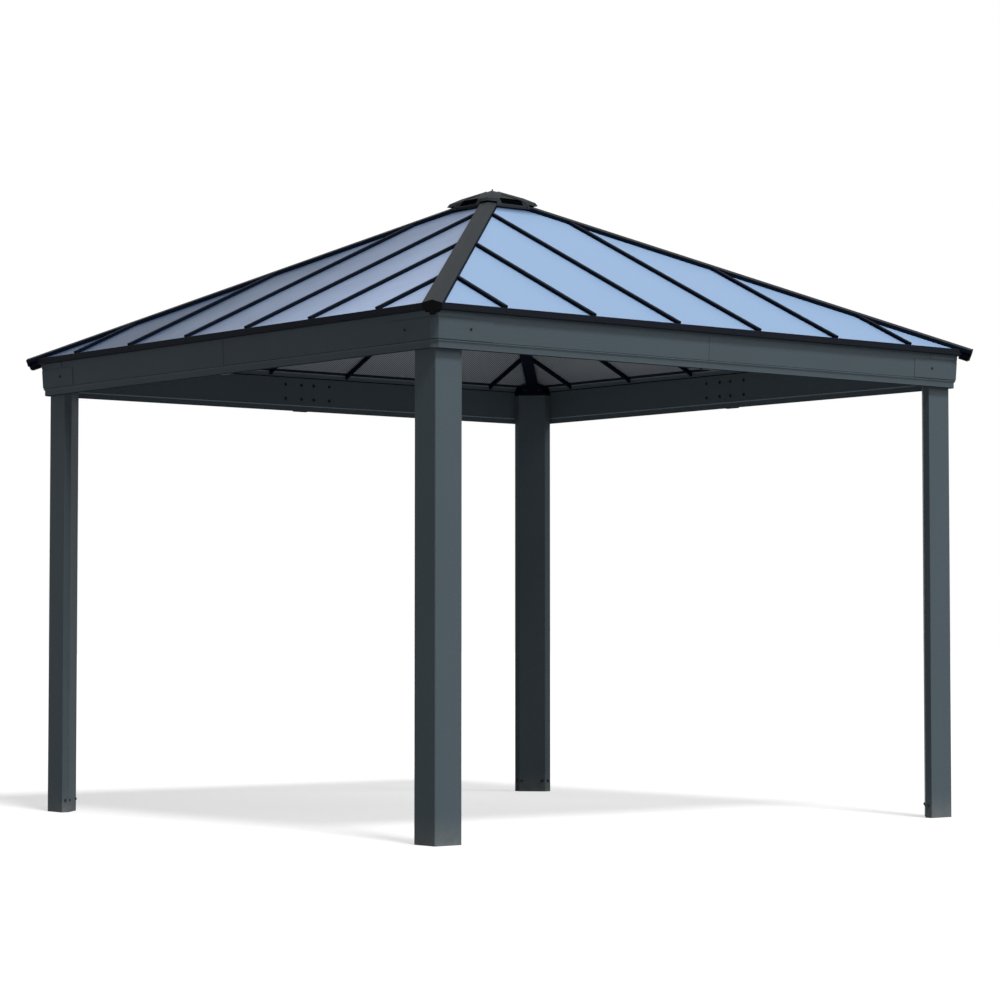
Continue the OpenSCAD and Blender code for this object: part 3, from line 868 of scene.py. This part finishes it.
for k, corner_name in enumerate(CORNERS):
    saddle = bpy.data.objects.new("saddle", skin.data.copy())
    bpy.context.scene.collection.objects.link(saddle)
    out = QUARTER[k] @ Vector((-1, -1, 0)).normalized()
    aside = QUARTER[k] @ Vector((1, -1, 0)).normalized()
    cut_away(saddle, tuple(out * 0.030), tuple(-out))
    cut_away(saddle, tuple(aside * SADDLE_HALF), tuple(aside))
    cut_away(saddle, tuple(aside * -SADDLE_HALF), tuple(-aside))
    edit(saddle)
    bpy.ops.mesh.select_all(action="SELECT")
    bpy.ops.mesh.normals_make_consistent(inside=False)
    done()
    thicken(saddle, SADDLE_SHEET)
    cutter = merged_copy("cutter", "hip_cover_" + corner_name)
    for lift in (0, 0.012):
        cutter.data.transform(Matrix.Translation((0, 0, lift)))
        take(saddle)
        bpy.ops.object.modifier_add(type="BOOLEAN")
        saddle.modifiers[-1].operation = "DIFFERENCE"
        saddle.modifiers[-1].object = cutter
        bpy.ops.object.modifier_apply(modifier=saddle.modifiers[-1].name)
    bpy.data.objects.remove(cutter)
    finish_piece(saddle, "hood_saddle_" + corner_name, HIP_COAT, "hip_coat")
    print("saddle", corner_name, len(saddle.data.polygons), "faces")
bpy.data.objects.remove(skin)

# %% [markdown]
# Inside each beam, from post to post, a black bead runs under the upper lip as painted shadow, the
# dark line of shade there, and a thin strip with the lighter coat stands a millimetre off the foot
# of the face as a painted highlight.

# %% Painted shadow beads and highlight strips
BAR_LENGTH = 3.2
SHADOW_LINE_UP, HIGHLIGHT_STRIP_UP = 0.1932, 0.0290


def long_bar(name, depth, height, level, material, slot):
    """A bar with small bevels inside each of the four beams, at a height over the beam's foot."""
    bpy.ops.object.select_all(action="DESELECT")
    bpy.ops.mesh.primitive_cube_add(size=1, location=(0, 0.0002 + depth / 2 - POST_REACH, 0))
    bar = bpy.context.view_layer.objects.active
    bar.scale = (BAR_LENGTH, depth, height)
    bpy.ops.object.transform_apply(location=True, rotation=True, scale=True)
    edit(bar)
    pick(bar, "EDGE", is_fold)
    bpy.ops.mesh.bevel(offset=min(depth, height) / 5, segments=1, affect="EDGES")
    done()
    bars = [QUARTER[k] @ Matrix.Translation((0, 0, BEAM_FOOT + level)) for k in range(4)]
    placed(bar, bars, name, material, slot)
    bpy.data.objects.remove(bar)
    print("bar", name, "at", level)


# The black bead is painted shadow, the dark line of shade under the lip.
long_bar("shadow_line_beads", 0.0055, 0.005, SHADOW_LINE_UP, SHADOW_BLACK, "black_plastic")
# A thin strip with the lighter coat: a painted highlight along the foot of the face.
long_bar("highlight_strips", 0.0012, 0.006, HIGHLIGHT_STRIP_UP, PAINTED_HIGHLIGHT_COAT, "beam_coat")

# %% [markdown]
# Behind each slot of the hood stand three slats, bent down along their outer edge. They take the
# near-black coat, painted shade for the dark inside of the slot.

# %% Hood slats
SLAT_SIZE = (0.146, 0.012, 0.002)
SLAT_PLACES = ((0.163, 0.026), (0.152, 0.036), (0.134, 0.046))
bpy.ops.object.select_all(action="DESELECT")
bpy.ops.mesh.primitive_cube_add(size=1, location=(0, 0, 0))
slat = bpy.context.view_layer.objects.active
slat.scale = SLAT_SIZE
bpy.ops.object.transform_apply(location=True, rotation=True, scale=True)
edit(slat)
pick(slat, "FACE", lambda f: f.normal.y < -0.9)
bpy.ops.mesh.extrude_region_move(TRANSFORM_OT_translate={"value": (0, -0.003, -0.004)})
pick(slat, "EDGE", is_fold)
bpy.ops.mesh.bevel(offset=0.0004, segments=1, affect="EDGES")
done()
slats = [QUARTER[k] @ Matrix.Translation((0, -reach, HOOD_LOW.z + rise))
         for k in range(4) for reach, rise in SLAT_PLACES]
# The slats take the near-black coat, painted shade for the dark inside of the slot.
placed(slat, slats, "hood_slats", SHADOW_BLACK, "black_plastic")
for model in (BOLT, SCREW_HEAD, keel, slat):
    bpy.data.objects.remove(model)
print("slats", len(slats))

# %% [markdown]
# What stays as it came from the construction model only needs its finish: the glazing, the bars
# under the hips, the plates inside the feet, the splice plates and the finial.

# %% Finishes on construction nodes
KEPT = {"panels_": (GLAZING, "glazing"), "hip_rafter_": (RAFTER_COAT, "dark_section"),
        "foot_plate_": (PLATE, "steel_plate"), "beam_splices": (PLATE, "steel_plate"),
        "finial": (SCREW, "steel_plate")}
for name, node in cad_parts.items():
    for start, (material, slot) in KEPT.items():
        if name.startswith(start):
            node.data.materials.clear()
            node.data.materials.append(material)
            print("finish", material.name, "on", name)

# %% [markdown]
# Now the light. The floor is plain. To the lamps it is a mid grey, so that it doesn't light the
# shaded sides too much. To the camera it is white, less a pale shadow, because it also glows a
# little to rays that come from the camera, from a reflection or through something clear.

# %% Floor
FLOOR_GLOW = 0.60
FLOOR_GREY = (0.46, 0.46, 0.46, 1)


def seen_directly(tree):
    """1 on rays from the camera, from a reflection or through something clear, and else 0."""
    rays = tree.nodes.new("ShaderNodeLightPath")
    seen = math_node(tree, "MAXIMUM", rays.outputs["Is Camera Ray"], rays.outputs["Is Glossy Ray"])
    return math_node(tree, "MAXIMUM", seen, rays.outputs["Is Transmission Ray"])


bpy.ops.object.select_all(action="DESELECT")
bpy.ops.mesh.primitive_plane_add(size=240, location=(0, 0, -0.0005))
floor = bpy.context.view_layer.objects.active
floor.name = "floor"
material = bpy.data.materials.new("pale_floor")
material.use_nodes = True
tree = material.node_tree
shader = tree.nodes["Principled BSDF"]
shader.inputs["Base Color"].default_value = FLOOR_GREY
shader.inputs["Roughness"].default_value = 1.0
shader.inputs["Specular IOR Level"].default_value = 0.0
seen = seen_directly(tree)
wire(tree, math_node(tree, "MULTIPLY", seen, FLOOR_GLOW), shader.inputs["Emission Strength"])
shader.inputs["Emission Color"].default_value = (1, 1, 1, 1)
floor.data.materials.append(material)
print("floor", floor.name)

# %% [markdown]
# Four distant lamps do the work of a studio. The key stands high in front and throws the shade of
# the eave on the front beams. The low key reaches in under that shade. The side fill softens both
# from the right, and the back fill keeps the far sides readable. A level of 1 would show a white
# face that looks at the lamp as white. The world is white to the camera and in reflections, and
# gives almost no light itself.

# %% Lamps and world
SKY_LEVEL = 0.05


def distant_lamp(name, heading, height, level, spread):
    """A lamp far away, towards a plan heading and at a height in degrees above the floor."""
    data = bpy.data.lights.new(name, "SUN")
    data.energy = level * math.pi
    data.angle = math.radians(spread)
    lamp = bpy.data.objects.new(name, data)
    towards = Vector((heading[0], heading[1], 0)).normalized() * math.cos(math.radians(height))
    towards.z = math.sin(math.radians(height))
    lamp.rotation_mode = "QUATERNION"
    lamp.rotation_quaternion = towards.to_track_quat("Z", "Y")
    bpy.context.scene.collection.objects.link(lamp)
    print("lamp", name, "towards", [round(v, 2) for v in towards])


distant_lamp("key", (-0.22, -0.975), 57, 0.80, 12)
distant_lamp("low_key", (-0.05, -0.999), 22, 0.16, 18)
distant_lamp("side_fill", (0.60, -0.80), 32, 0.43, 36)
distant_lamp("back_fill", (0.40, 0.92), 30, 0.16, 60)

world = bpy.data.worlds.new("studio")
bpy.context.scene.world = world
world.use_nodes = True
tree = world.node_tree
background = tree.nodes["Background"]
seen = seen_directly(tree)
strength = tree.nodes.new("ShaderNodeMix")
strength.inputs[2].default_value = SKY_LEVEL
strength.inputs[3].default_value = 1.0
wire(tree, seen, strength.inputs["Factor"])
wire(tree, strength.outputs[0], background.inputs["Strength"])
background.inputs["Color"].default_value = (1, 1, 1, 1)
bpy.context.scene.view_settings.view_transform = "Standard"
print("world", world.name)
